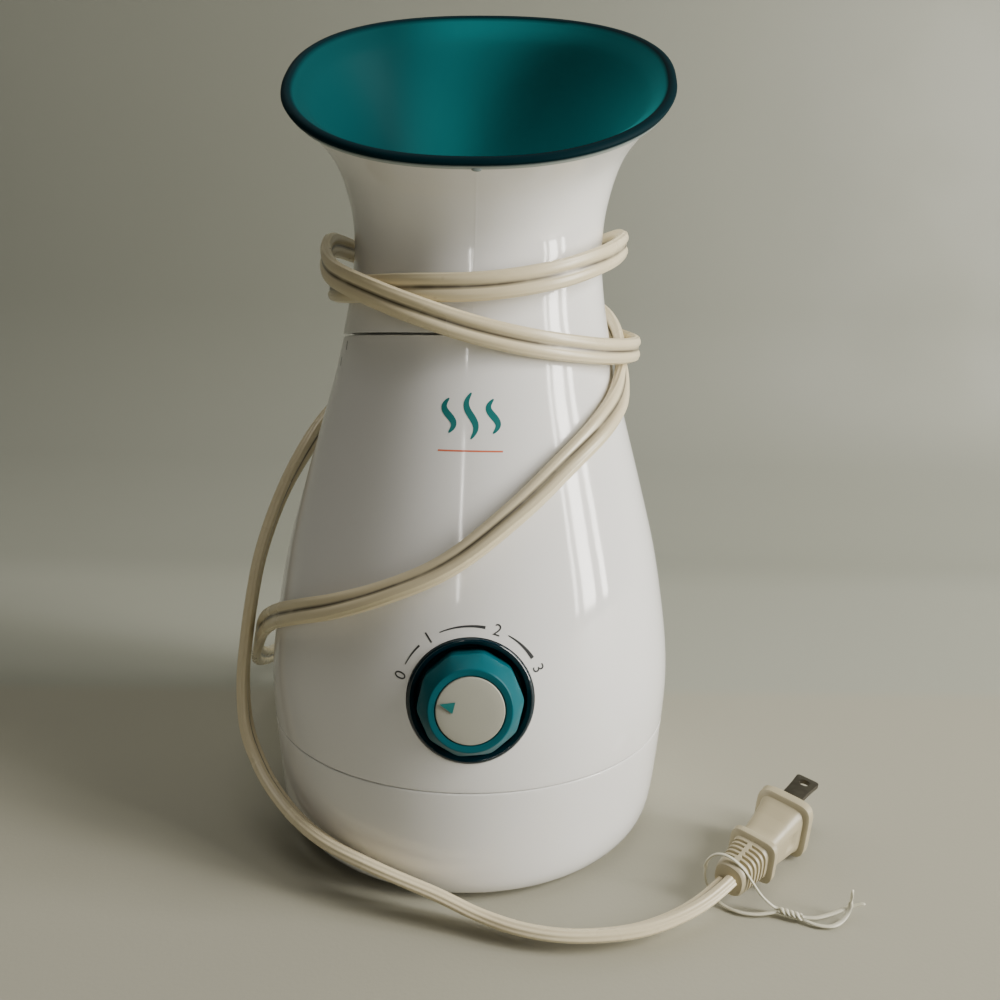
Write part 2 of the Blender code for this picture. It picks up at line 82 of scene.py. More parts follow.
def node(tree, kind, inputs=None, **settings):
    """Adds a shader node. inputs maps a socket to a value or to the output that feeds it."""
    made = tree.nodes.new("ShaderNode" + kind)
    for name, value in settings.items():
        setattr(made, name, value)
    for socket, value in (inputs or {}).items():
        if isinstance(value, bpy.types.NodeSocket):
            tree.links.new(value, made.inputs[socket])
        else:
            made.inputs[socket].default_value = value
    return made


def finish(name, tones, patch_mm, rough, grain_mm, grain_um, **sockets):
    """A surface in two close tones: soft patches, a roughness that wavers and a fine raised grain."""
    material = bpy.data.materials.new(name)
    material.use_nodes = True
    tree = material.node_tree
    shader = tree.nodes["Principled BSDF"]
    place = node(tree, "TexCoord").outputs["Object"]
    patches = node(tree, "TexNoise", {"Vector": place, "Scale": 1000 / patch_mm, "Detail": 3.0})
    share = patches.outputs["Fac"]
    tone = node(tree, "Mix", {0: share, 6: srgb(tones[0]), 7: srgb(tones[1])}, data_type="RGBA")
    tree.links.new(tone.outputs[2], shader.inputs["Base Color"])
    waver = {"Value": share, "From Min": 0.35, "From Max": 0.65, "To Min": rough[0], "To Max": rough[1]}
    tree.links.new(node(tree, "MapRange", waver).outputs[0], shader.inputs["Roughness"])
    grain = node(tree, "TexNoise", {"Vector": place, "Scale": 1000 / grain_mm, "Detail": 2.0})
    bump = node(tree, "Bump", {"Height": grain.outputs["Fac"], "Distance": grain_um * 1e-6, "Strength": 1.0})
    tree.links.new(bump.outputs[0], shader.inputs["Normal"])
    for socket, value in sockets.items():
        shader.inputs[socket.replace("_", " ")].default_value = value
    return material


def painted_over(material, mask, code):
    """Lays a colour over a finish where the mask is 1."""
    tree = material.node_tree
    colour = tree.nodes["Principled BSDF"].inputs["Base Color"]
    under = colour.links[0].from_socket
    over = node(tree, "Mix", {0: mask, 6: under, 7: srgb(code)}, data_type="RGBA")
    tree.links.new(over.outputs[2], colour)


FLOOR_NEAR = -1.6
FLOOR_END = 0.30
SWEEP_R = 0.20
WALL_TOP = 2.2
FLOOR_WIDE = 5.0
floor_form = bmesh.new()
sweep = [(FLOOR_NEAR, 0.0)]
for t in np.linspace(0, math.pi / 2, 17):
    sweep.append((FLOOR_END + SWEEP_R * math.sin(t), SWEEP_R - SWEEP_R * math.cos(t)))
sweep.append((FLOOR_END + SWEEP_R, WALL_TOP))
sweep_verts = [floor_form.verts.new((-FLOOR_WIDE / 2, y, z)) for y, z in sweep]
sweep_edges = [floor_form.edges.new(pair) for pair in zip(sweep_verts, sweep_verts[1:])]
drawn = bmesh.ops.extrude_edge_only(floor_form, edges=sweep_edges)
far_side = [v for v in drawn["geom"] if isinstance(v, bmesh.types.BMVert)]
bmesh.ops.translate(floor_form, verts=far_side, vec=(FLOOR_WIDE, 0, 0))
floor_mesh = bpy.data.meshes.new("floor")
floor_form.to_mesh(floor_mesh)
floor_form.free()
floor_mesh.shade_smooth()

# Painted board: dull and pale, a little cooler where it starts to rise and darker up the wall.
floor_finish = finish("painted_board", ("A9A798", "A2A091"), 180, (0.55, 0.65), 1.2, 40)
floor_place = node(floor_finish.node_tree, "TexCoord").outputs["Object"]
floor_y = node(floor_finish.node_tree, "SeparateXYZ", {0: floor_place}).outputs[1]
for near, far, colour in [(0.074, 0.084, "A2A498"), (0.24, 0.44, "83857A")]:
    share = node(floor_finish.node_tree, "MapRange", {"Value": floor_y, "From Min": near, "From Max": far})
    painted_over(floor_finish, share.outputs[0], colour)
floor_mesh.materials.append(floor_finish)
floor = bpy.data.objects.new("floor", floor_mesh)
bpy.context.scene.collection.objects.link(floor)

world = bpy.data.worlds.new("room")
world.use_nodes = True
world.node_tree.nodes["Background"].inputs["Color"].default_value = srgb("A9ABA3")
world.node_tree.nodes["Background"].inputs["Strength"].default_value = 0.05
bpy.context.scene.world = world

# Each panel: turn round the body from the camera towards the right, distance, height, width, length, watts.
PANELS = [
    (60, 1.30, 0.62, 0.05, 1.20, 5.0),
    (69, 1.30, 0.62, 0.22, 1.20, 26.0),
    (81, 1.30, 0.62, 0.10, 1.20, 11.0),
    (-8, 1.10, 0.42, 0.010, 0.45, 0.75),
    (-90, 0.25, 1.90, 1.20, 1.20, 9.0),
]
AIM_HIGH = 0.13                   # the panels face the body's axis at this height
for i, (turn, far, high, wide, tall, watts) in enumerate(PANELS):
    lamp_data = bpy.data.lights.new(f"panel_{i + 1}", "AREA")
    lamp_data.shape = "RECTANGLE"
    lamp_data.size = wide
    lamp_data.size_y = tall
    lamp_data.energy = watts
    lamp_data.color = srgb("FFFBF3")[:3]
    lamp = bpy.data.objects.new(f"panel_{i + 1}", lamp_data)
    bpy.context.scene.collection.objects.link(lamp)
    lamp.location = (far * math.sin(math.radians(turn)), axis_y - far * math.cos(math.radians(turn)), high)
    aim = Vector((0, axis_y, AIM_HIGH)) - lamp.location
    lamp.rotation_euler = aim.to_track_quat("-Z", "Y").to_euler()

# ---- Mains lead ----
# A flat two-core lead in cream PVC, two round lobes joined by a web. It leaves the base at the back, is wound
# round the body and neck, and ends on the table in the moulded plug. Its groove is darkened with painted
# shade.
LOBE = 0.00185                   # radius of each lobe
WEB = 0.00125                    # half the thickness of the web between them
RIB = 0.00011                    # height of the fine ribs along the lobes
RIB_EDGE = math.radians(64)      # the ribs reach this far round from the lead's edge
LEAD_STEP = 0.0022               # from one ring of the lead's skin to the next
LOBE_EDGE = 137                  # degrees round from the lead's edge to where a lobe meets the web
# The turn about the body's axis in degrees (0 at the dial, growing to the right), the distance from the axis
# and the height, in millimetres.
LEAD_ROUTE = [
    (-180, 90.3, 17.5), (-179.5, 100, 16.4), (-177.6, 112.1, 14.6), (-173.3, 123.9, 12.6),
    (-166.5, 132.7, 11.2), (-158.4, 135.6, 10.8), (-149.7, 132, 12), (-140.9, 123.7, 15),
    (-131.5, 110.2, 20), (-120.2, 95.4, 27), (-108.5, 83.8, 36), (-97, 75.3, 45.5), (-86, 69.8, 55),
    (-74, 66.9, 64), (-61, 65.2, 71.5), (-47, 64.8, 77.3), (-34, 64.1, 82), (-20, 62.6, 88), (-6, 60.9, 95.5),
    (10, 57.5, 108), (26, 53.9, 120), (43, 50.8, 129.5),
    (61, 47.6, 137.5), (79, 45.3, 147), (96, 44.2, 156.5), (118, 43.9, 164.5), (150, 43.9, 170.5),
    (185, 43.9, 174.5), (220, 43.9, 178), (252, 44.2, 180.5), (272, 45, 179.5), (287, 46.4, 174.5),
    (302, 47.7, 169.2), (320, 47.8, 164), (338, 46.2, 158.8), (358, 44.8, 154), (380, 44.6, 150.8),
    (405, 45.1, 149.5), (423, 47.4, 149.7), (440, 49.2, 150.9), (457, 49.1, 153), (475, 47.3, 155.9),
    (495, 44.2, 159.5), (530, 43.9, 163.5), (570, 43.9, 166.8), (605, 43.9, 168), (632, 44.1, 167),
    (660, 43.9, 164.8), (690, 43.9, 164.2), (720, 43.9, 164.6), (745, 43.9, 168), (770, 43.9, 174),
    (795, 43.9, 180.5), (818, 43.9, 184.3), (838, 45.3, 184.2), (858, 47.9, 180), (880, 48.3, 171),
    (902, 48.4, 160.5), (925, 48.8, 149.5), (947, 50.5, 138.5), (967, 53.3, 127.5), (981, 56.6, 116.5),
    (989, 61.2, 105), (993, 65.2, 94), (996.5, 68.6, 82), (999.2, 70.9, 69.5), (1001.6, 72.6, 57.5),
    (1004.2, 73.7, 45.6), (1009, 73.1, 33), (1017.4, 70, 23), (1029.4, 67.1, 16.6), (1043, 66.4, 14),
    (1058, 66.6, 12.2), (1072, 67.6, 8.8), (1082.6, 70.6, 5), (1090, 75, 3.9), (1097, 79.4, 3.6),
    (1104, 83.1, 3.5), (1110.6, 86.6, 3.8), (1116.5, 89.3, 4.7), (1122.3, 91.7, 6.1), (1128.7, 93.9, 8.2),
]
# How far the flat side leans from facing outwards (0) to facing down (90), in degrees, by turn.
LEAD_LEANS = [
    (-180, 85), (-172, 60), (-155, 20), (-125, 0), (-66, 0), (-40, -35), (-20, -58), (8, -62), (32, -60),
    (52, -44), (68, -20), (88, 0), (990, 0), (1012, 40), (1040, 49), (1128.7, 49),
]


def smooth_through(rows, steps):
    """A Catmull-Rom curve through rows of numbers, with so many steps from each row to the next."""
    rows = np.array(rows, float)
    ends = np.vstack([2 * rows[0] - rows[1], rows, 2 * rows[-1] - rows[-2]])
    out = []
    for i in range(len(rows) - 1):
        a, b, c, d = ends[i:i + 4]
        for t in np.arange(steps) / steps:
            out.append(0.5 * (2 * b + (c - a) * t + (2 * a - 5 * b + 4 * c - d) * t * t
                              + (3 * b - a - 3 * c + d) * t ** 3))
    out.append(rows[-1])
    return np.array(out)


def evenly(points, spacing):
    """The same line with its points evenly spaced."""
    along = np.concatenate([[0], np.cumsum(np.linalg.norm(np.diff(points[:, :3], axis=0), axis=1))])
    marks = np.linspace(0, along[-1], int(round(along[-1] / spacing)) + 1)
    return np.stack([np.interp(marks, along, points[:, k]) for k in range(points.shape[1])], axis=1)


def unit(rows):
    """The same directions, each of length 1."""
    return rows / np.linalg.norm(rows, axis=1, keepdims=True)


def skin_through(rings, joined=False):
    """A closed skin through rings of as many points each; joined makes the last ring meet the first."""
    form = bmesh.new()
    loops = [[form.verts.new(point) for point in ring] for ring in rings]
    pairs = list(zip(loops, loops[1:]))
    if joined:
        pairs.append((loops[-1], loops[0]))
    else:
        form.faces.new(loops[0])
        form.faces.new(loops[-1])
    for here, ahead in pairs:
        for i, corner in enumerate(here):
            form.faces.new((here[i - 1], corner, ahead[i], ahead[i - 1]))
    bmesh.ops.recalc_face_normals(form, faces=form.faces)
    return form


def put(form, name, material, body="root", stands_for=(), crease=32):
    """Makes a finished form a piece of the steamer that rides on a body."""
    mesh = bpy.data.meshes.new(name)
    form.to_mesh(mesh)
    form.free()
    mesh.materials.append(material)
    mesh.shade_smooth()
    mesh.set_sharp_from_angle(angle=math.radians(crease))
    piece = bpy.data.objects.new(name, mesh)
    bpy.context.scene.collection.objects.link(piece)
    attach(piece, body)
    if stands_for:
        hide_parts(*stands_for)
    return piece


lead_rows = smooth_through(LEAD_ROUTE, 12)
turns = np.radians(lead_rows[:, 0])
lead_line = np.stack([0.001 * lead_rows[:, 1] * np.sin(turns),
                      axis_y - 0.001 * lead_rows[:, 1] * np.cos(turns),
                      0.001 * lead_rows[:, 2], lead_rows[:, 0]], axis=1)
lead_line = evenly(lead_line, LEAD_STEP)
lead_turns = np.radians(lead_line[:, 3])
lead_points = lead_line[:, :3]
along_lead = unit(np.gradient(lead_points, axis=0))
lean = np.radians(np.interp(lead_line[:, 3], *np.array(LEAD_LEANS, float).T))
flat_side = np.stack([np.sin(lead_turns) * np.cos(lean), -np.cos(lead_turns) * np.cos(lean), -np.sin(lean)],
                     axis=1)
for _ in range(12):
    flat_side = unit(flat_side - along_lead * np.sum(flat_side * along_lead, axis=1, keepdims=True))
    flat_side[1:-1] = (flat_side[:-2] + 2 * flat_side[1:-1] + flat_side[2:]) / 4
flat_side = unit(flat_side - along_lead * np.sum(flat_side * along_lead, axis=1, keepdims=True))
lead_edge = np.cross(along_lead, flat_side)

section = []                     # (across, through, depth in the groove) round one lobe, then the other
for side in (1, -1):
    section.append((0, -side * WEB, 1.0))
    for t in np.radians(np.linspace(-LOBE_EDGE, LOBE_EDGE, 37)):
        ridge = RIB * math.cos(9 * min(abs(t), RIB_EDGE))
        reach = LOBE - RIB + ridge
        groove = 0.25 if abs(t) > math.radians(LOBE_EDGE - 1) else 0.0
        section.append((side * (LOBE + reach * math.cos(t)), side * reach * math.sin(t), groove))
lead_rings = []
for point, edge, face in zip(lead_points, lead_edge, flat_side):
    lead_rings.append([point + edge * x + face * y for x, y, _ in section])
lead_form = skin_through(lead_rings)
groove_layer = lead_form.verts.layers.float.new("groove")
lead_form.verts.ensure_lookup_table()
for i, vert in enumerate(lead_form.verts):
    vert[groove_layer] = section[i % len(section)][2]

# Soft PVC: a dull gloss, yellowed in places, with painted shade, dark and uneven, along the groove.
lead_pvc = finish("cream_pvc_lead", ("E3D8B9", "D6C8A5"), 22, (0.24, 0.36), 0.35, 6, IOR=1.53)
# Painted shade: a dark tone laid along the groove, stronger in some places than others.
groove_mask = node(lead_pvc.node_tree, "Attribute", attribute_name="groove").outputs["Fac"]
groove_shade_place = node(lead_pvc.node_tree, "TexCoord").outputs["Object"]
GROOVE_SHADE_PER_METRE = 90.0
groove_shade_noise = node(lead_pvc.node_tree, "TexNoise", {"Vector": groove_shade_place, "Scale": GROOVE_SHADE_PER_METRE, "Detail": 3.0})
groove_shade_depth = node(lead_pvc.node_tree, "MapRange",
                   {"Value": groove_shade_noise.outputs["Fac"], "From Min": 0.30, "From Max": 0.50, "To Min": 0.65})
groove_mask = node(lead_pvc.node_tree, "Math", {0: groove_mask, 1: groove_shade_depth.outputs[0]},
                   operation="MULTIPLY").outputs[0]
painted_over(lead_pvc, groove_mask, "40382C")
lead = put(lead_form, "mains_lead", lead_pvc, stands_for=["mains_cord"], crease=60)

# ---- Strain relief ----
# A soft PVC sleeve with a flange that snaps into the base's wall. Six rings and the gaps between them let it
# bend, and it narrows to the flat lead at its tip.
GLAND_Z = 0.0175                  # height of the sleeve's middle
RELIEF_RINGS = 6
RELIEF_START = 0.0660             # where its first ring starts, back from the body's axis
RELIEF_PITCH = 0.0036
RELIEF_TAPER = 0.045              # share of the first ring's size that is lost from each ring to the next
# One gap and the ring after it: distance along in metres, half width and half height in millimetres.
GAP_AND_RING = [
    (0, 3.7, 3.4), (0.0009, 3.7, 3.4), (0.0011, 4.9, 4.5), (0.0027, 4.8, 4.35), (0.0029, 3.7, 3.4),
]
# The whole sleeve in the same way, measured back from the body's axis, from its root in the base's wall.
relief_stations = [
    (0.0590, 4.2, 4.2), (0.0640, 4.3, 4.3), (0.0641, 6.2, 6.2), (0.0644, 6.5, 6.5), (0.0652, 6.5, 6.5),
    (0.0656, 6.2, 6.2),
]
for i in range(RELIEF_RINGS):
    start = RELIEF_START + RELIEF_PITCH * i
    grown = 1 - RELIEF_TAPER * i
    for step, across, high in GAP_AND_RING:
        relief_stations.append((start + step, across * grown, high * grown))
relief_stations += [(0.0885, 4.35, 2.7), (0.0895, 4.3, 2.6), (0.0900, 4.0, 2.3)]
relief_rings = []
for y, across, high in relief_stations:
    share = min(1, max(0, (y - RELIEF_START) / 0.023))
    across = max(across, 4.2 * share)
    high *= 1 - 0.15 * share
    ring = []
    for t in np.linspace(0, 2 * math.pi, 48, endpoint=False):
        ring.append((0.001 * across * math.cos(t), axis_y + y, GLAND_Z + 0.001 * high * math.sin(t)))
    relief_rings.append(ring)

# Moulded PVC, a tone greyer and duller than the lead.
plug_pvc = finish("cream_pvc_moulding", ("B6AD92", "AAA083"), 14, (0.30, 0.40), 0.5, 10, IOR=1.53)
relief = put(skin_through(relief_rings), "strain_relief", plug_pvc,
             stands_for=["cord_gland"])

# ---- Plug ----
# One PVC moulding: a ribbed boot that grips the lead, a square finger flange, a waisted grip with a dent in
# each side, and the broad front flange that holds the blades.
PLUG_AT = Vector((0.0710, axis_y - 0.0615, 0.0082))
plug_place = (Matrix.Translation(PLUG_AT) @ Matrix.Rotation(math.radians(-45), 4, "Z")
              @ Matrix.Rotation(math.radians(5), 4, "Y") @ Matrix.Rotation(math.radians(2), 4, "X"))
# Distance from the rear, half width, half height, all in mm, and how square the section is.
PLUG_STATIONS = [
    (0.0, 3.3, 3.7, 2.4), (0.25, 3.9, 4.2, 2.5), (0.8, 4.2, 4.5, 2.6), (1.6, 4.35, 4.7, 2.7),
    (3.0, 4.45, 4.75, 2.9), (12.6, 5.2, 5.15, 3.6), (13.2, 5.3, 5.2, 4.0), (13.5, 6.2, 6.1, 4.6),
    (13.9, 6.7, 6.5, 5.0), (15.7, 6.8, 6.6, 5.0), (16.3, 6.5, 6.3, 4.8), (16.6, 5.4, 5.5, 4.4),
    (17.2, 5.1, 5.3, 4.2), (20.0, 5.3, 5.6, 4.2), (26.0, 5.8, 6.4, 4.4), (31.2, 6.3, 7.1, 4.6),
    (32.8, 6.7, 7.5, 4.8), (33.1, 7.6, 8.4, 5.0), (33.6, 8.1, 8.9, 5.2), (36.3, 8.2, 9.0, 5.2),
    (37.0, 7.9, 8.7, 5.0), (37.5, 7.1, 8.0, 4.6), (37.6, 6.2, 7.1, 4.4),
]
PLUG_LONG = 0.0376
PLUG_FACETS = 144
# In mm as well: the slots between the boot's ribs, the dents in the grip's sides, and the grip's swell.
SLOT_STARTS = [3.2, 5.1, 7.0, 8.9, 10.8]
SLOT_WIDE = 1.05
SLOT_EDGE = 0.12
SLOT_DEEP = 1.1
SPINE_HALF = 0.8
DENT_AT = 28.0
DENT_HALF_LONG = 2.4
DENT_HALF_HIGH = 2.6
DENT_DEEP = 0.6
GRIP_START = 26.0
GRIP_RISE = 0.55
slot_steps = (0, SLOT_EDGE, SLOT_WIDE - SLOT_EDGE, SLOT_WIDE)
slot_marks = {round(start + step, 2) for start in SLOT_STARTS for step in slot_steps}
grip_marks = {round(y, 2) for y in np.arange(20, 32, 0.8)}
plug_marks = sorted({row[0] for row in PLUG_STATIONS} | grip_marks | slot_marks)
plug_table = np.array(PLUG_STATIONS)
plug_rings = []
for y in plug_marks:
    across, high, square = [np.interp(y, plug_table[:, 0], plug_table[:, k]) for k in (1, 2, 3)]
    in_slot = any(start + SLOT_EDGE / 2 < y < start + SLOT_WIDE - SLOT_EDGE / 2 for start in SLOT_STARTS)
    ring = []
    for i in range(PLUG_FACETS):
        t = 2 * math.pi * (i + 0.5) / PLUG_FACETS
        c, s = math.cos(t), math.sin(t)
        x = across * np.sign(c) * abs(c) ** (2 / square)
        z = high * np.sign(s) * abs(s) ** (2 / square)
        if in_slot and abs(x) > SPINE_HALF:      # a spine is left along the top and the bottom
            x -= SLOT_DEEP * c
            z -= SLOT_DEEP * s
        dent = max(0, 1 - (abs(y - DENT_AT) / DENT_HALF_LONG) ** 6)
        dent *= max(0, 1 - (abs(z) / DENT_HALF_HIGH) ** 6)
        x -= np.sign(x) * DENT_DEEP * dent
        z += GRIP_RISE * min(1, max(0, (y - GRIP_START) / 7))      # the grip swells more above than below
        ring.append(plug_place @ Vector((0.001 * x, 0.001 * y, 0.001 * z)))
    plug_rings.append(ring)
plug = put(skin_through(plug_rings), "plug_moulding", plug_pvc, stands_for=["plug_body"])

# ---- Plug blades ----
# Two flat blades of nickel-plated brass. Each flares a little towards its end, has its corners cut and is
# stamped with a round hole.
BLADE_THICK = 0.0015
BLADE_LONG = 0.0150
BLADE_GAP = 0.0127                # between the blades' middles
BLADE_HOLE_R = 0.0017
BLADE_HOLE_AT = 0.0040            # ahead of the blade's middle
BLADE_HALF_WIDE = 0.0030
BLADE_FLARE = 0.0005              # added to each side at the blade's end
CUT_CORNER = [(0.00335, 0.0070), (0.0030, 0.00735), (0.0024, 0.0075)]      # half width, distance ahead
EDGE_BREAK = 0.00018              # size of the small slope along its edges

# Nickel plate worn to a dark, uneven grey.
blade_metal = finish("worn_nickel_plate", ("6E6A62", "4C4740"), 5, (0.28, 0.5), 0.25, 6, Metallic=1.0)


def as_object(form, name):
    """A form as an object for the time of a cut."""
    mesh = bpy.data.meshes.new(name)
    form.to_mesh(mesh)
    form.free()
    made = bpy.data.objects.new(name, mesh)
    bpy.context.scene.collection.objects.link(made)
    return made


def bored(form, radius, length, place, sides=64):
    """The form with a round hole through it, along the place's own Z."""
    drill = bmesh.new()
    bmesh.ops.create_cone(drill, cap_ends=True, segments=sides, radius1=radius, radius2=radius, depth=length,
                          matrix=place)
    work, cutter = as_object(form, "work"), as_object(drill, "drill")
    cut = work.modifiers.new("cut", "BOOLEAN")
    cut.object = cutter
    mesh = bpy.data.meshes.new_from_object(work.evaluated_get(bpy.context.evaluated_depsgraph_get()))
    made = bmesh.new()
    made.from_mesh(mesh)
    bpy.data.objects.remove(work)
    bpy.data.objects.remove(cutter)
    bpy.data.meshes.remove(mesh)
    return made


for i, side in enumerate((1, -1)):
    outline = []
    for k in range(13):
        y = -0.0075 + 0.0140 * k / 12
        outline.append((BLADE_HALF_WIDE + BLADE_FLARE * ((y + 0.0045) / 0.0110) ** 2, y))
    outline += CUT_CORNER
    blade_form = bmesh.new()
    outline += [(-x, y) for x, y in outline[::-1]]
    flat = blade_form.faces.new([blade_form.verts.new((x, y, -BLADE_THICK / 2)) for x, y in outline])
    drawn = bmesh.ops.extrude_face_region(blade_form, geom=[flat], use_keep_orig=True)
    raised = [v for v in drawn["geom"] if isinstance(v, bmesh.types.BMVert)]
    bmesh.ops.translate(blade_form, verts=raised, vec=(0, 0, BLADE_THICK))
    bmesh.ops.recalc_face_normals(blade_form, faces=blade_form.faces)
    rims = [e for e in blade_form.edges if abs(e.verts[0].co.z - e.verts[1].co.z) < 1e-6]
    bmesh.ops.bevel(blade_form, geom=rims, offset=EDGE_BREAK, offset_type="OFFSET", affect="EDGES",
                    segments=2, profile=0.5, material=-1, clamp_overlap=True)
    blade_form = bored(blade_form, BLADE_HOLE_R, 0.01, Matrix.Translation((0, BLADE_HOLE_AT, 0)), 32)
    spot = Matrix.Translation((0, PLUG_LONG + 0.0002 + BLADE_LONG / 2, side * BLADE_GAP / 2))
    bmesh.ops.transform(blade_form, matrix=plug_place @ spot, verts=blade_form.verts)
    put(blade_form, f"contact_blade_{i + 1}", blade_metal,
                      stands_for=[f"plug_blade_{i + 1}"])

# ---- Twist tie ----
# The off-white plastic-coated wire that the lead was packed with. It still hangs round the boot, its two ends
# twisted together beside the plug and splayed at their tips.
TIE_LOOP = [
    (83.0, -60.6, 2.4), (79.6, -60.6, 5.6), (77.0, -59.9, 9.2), (74.6, -58.6, 12.4), (71.5, -56.4, 14.2),
    (68.6, -54.4, 13.6), (66.6, -53.2, 10.6), (66.2, -53.4, 6.6), (67.2, -54.4, 3.2), (69.6, -57.6, 1.0),
    (73.2, -60.6, 0.8), (77.4, -61.9, 1.0), (81.4, -61.8, 1.3), (84.4, -61.4, 1.6),
]
TIE_LONG_END = [
    (90.0, -63.6, 1.5), (93.6, -63.9, 1.6), (98.2, -62.9, 2.0), (103.6, -61.6, 3.0), (107.6, -61.9, 4.2),
]
TIE_BENT_END = [
    (90.0, -64.0, 1.0), (93.0, -65.8, 0.9), (96.6, -66.2, 0.9), (100.2, -64.6, 1.2), (103.0, -62.6, 3.2),
    (103.8, -61.8, 8.4),
]
TWIST_START = Vector((84.4, -61.6, 1.9))
TWIST_END = Vector((89.6, -63.7, 1.6))
TWIST_TURNS = 2.25
TWIST_R = 0.62
TIE_LOWEST = 0.7                  # the twist's middle line stays this far above the table
TIE_HALF_WIDE = 0.00062
TIE_HALF_THICK = 0.00034


def ribbon(points_mm, name):
    """A flat coated wire along points in millimetres."""
    line = evenly(smooth_through(points_mm, 10), 0.45) * 0.001
    ahead = unit(np.gradient(line, axis=0))
    side = unit(np.cross(ahead, (0.15, 0.1, 1.0)))
    up = np.cross(side, ahead)
    rings = []
    for k, (p, s, u) in enumerate(zip(line, side, up)):
        end = min(1, 0.35 + 0.5 * min(k, len(line) - 1 - k))
        rings.append([p + end * (s * TIE_HALF_WIDE * math.cos(t) + u * TIE_HALF_THICK * math.sin(t))
                      for t in np.linspace(0, 2 * math.pi, 12, endpoint=False)])
    return put(skin_through(rings), name, tie_plastic, crease=80)


# Paper-white plastic over a thin wire, dull and a little yellowed.
tie_plastic = finish("coated_tie_wire", ("D9D7C6", "CFCBB4"), 6, (0.35, 0.5), 0.3, 10, IOR=1.5)
twist = {1: [], -1: []}
for k in np.linspace(0, 1, 25):
    spot = TWIST_START.lerp(TWIST_END, k)
    for side in (1, -1):
        t = 2 * math.pi * TWIST_TURNS * k + (0 if side > 0 else math.pi)
        height = max(TIE_LOWEST, spot.z + TWIST_R * math.sin(t))
        twist[side].append((spot.x + 0.25 * math.cos(t), spot.y + TWIST_R * math.cos(t), height))
tie_a = ribbon(twist[1][::-1] + TIE_LOOP + twist[-1], "tie_loop")
tie_b = ribbon([twist[1][-1]] + TIE_LONG_END, "tie_end_long")
tie_c = ribbon([twist[-1][-1]] + TIE_BENT_END, "tie_end_bent")
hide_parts("cord_tie")

# ---- Body casing and base ring ----
# Two white ABS mouldings with a high gloss. The tall casing snaps down over the base ring at a fine seam, and
# the dial sits in a round hole in its front.
WALL = 0.0022
BASE_SEAM_Z = 0.0352
NECK_SEAM_Z = 0.1528
SEAM = 0.00013
BODY_OUTLINE = [                # (height, radius)
    (0.0012, 0.0572), (0.0040, 0.0603), (0.0090, 0.0619), (0.0190, 0.0630), (0.0352, 0.0642),
    (0.0480, 0.0646), (0.0600, 0.0637), (0.0740, 0.0615), (0.0900, 0.0583), (0.1080, 0.0534),
    (0.1260, 0.0482), (0.1410, 0.0439), (0.1526, 0.0412),
]
body_curve = smooth_through(BODY_OUTLINE, 8)
ROUND = 160                      # facets round the large casings


def body_radius(z):
    """How far the casings' outer face stands from the body's axis at a height."""
    return float(np.interp(z, body_curve[:, 0], body_curve[:, 1]))


def eased(corners, steps=4):
    """An outline whose corners (radius, height, ease) are rounded off from that far back on each side."""
    out = []
    for i, (x, y, ease) in enumerate(corners):
        here = Vector((x, y))
        if not ease:
            out.append((x, y))
            continue
        arms = []
        for other in (corners[i - 1], corners[(i + 1) % len(corners)]):
            away = Vector(other[:2]) - here
            arms.append(here + away.normalized() * min(ease, away.length * 0.48))
        for t in np.linspace(0, 1, steps + 1):
            out.append(tuple(arms[0] * (1 - t) ** 2 + here * 2 * t * (1 - t) + arms[1] * t * t))
    return out


def spun(outline, place=axis, steps=ROUND, closed=True):
    """A turned form from (radius, height) pairs, stood at its place."""
    form = bmesh.new()
    verts = [form.verts.new((r, 0, z)) for r, z in outline]
    edges = [form.edges.new(pair) for pair in zip(verts, verts[1:])]
    if closed:
        edges.append(form.edges.new((verts[-1], verts[0])))
    bmesh.ops.spin(form, geom=verts + edges, cent=(0, 0, 0), axis=(0, 0, 1), angle=2 * math.pi, steps=steps,
                   use_merge=True)
    bmesh.ops.remove_doubles(form, verts=form.verts, dist=1e-6)
    bmesh.ops.recalc_face_normals(form, faces=form.faces)
    bmesh.ops.transform(form, matrix=place, verts=form.verts)
    return form


def shell_corners(low, high, count):
    """The casing's wall between two heights, with soft edges at its seams."""
    heights = np.linspace(high, low, count)
    outer = [(body_radius(z), z, 0) for z in heights]
    inner = [(body_radius(z) - WALL, z, 0) for z in heights[::-3]]
    outer[0] = (*outer[0][:2], 0.0004)
    outer[-1] = (*outer[-1][:2], 0.00035)
    return outer + inner


# High-gloss ABS: a mirror-like skin with the faint ripple of the mould's polish, and hardly any colour.
white_abs = finish("gloss_white_abs", ("EDEDED", "E7E6E4"), 60, (0.07, 0.12), 7, 9, IOR=1.56)

DIAL_Z = 0.0605
DIAL_WALL_R = 0.0637
DIAL_TILT = math.radians(6)
BEZEL_R = 0.0165
dial_place = (Matrix.Translation((0, axis_y - DIAL_WALL_R, DIAL_Z))
              @ Matrix.Rotation(math.pi / 2 - DIAL_TILT, 4, "X"))
casing_form = spun(eased(shell_corners(BASE_SEAM_Z + SEAM, NECK_SEAM_Z - 0.0005, 64)))
casing_form = bored(casing_form, BEZEL_R + 0.0001, 0.024, dial_place, 96)
put(casing_form, "body_casing", white_abs, stands_for=["body_shell"])

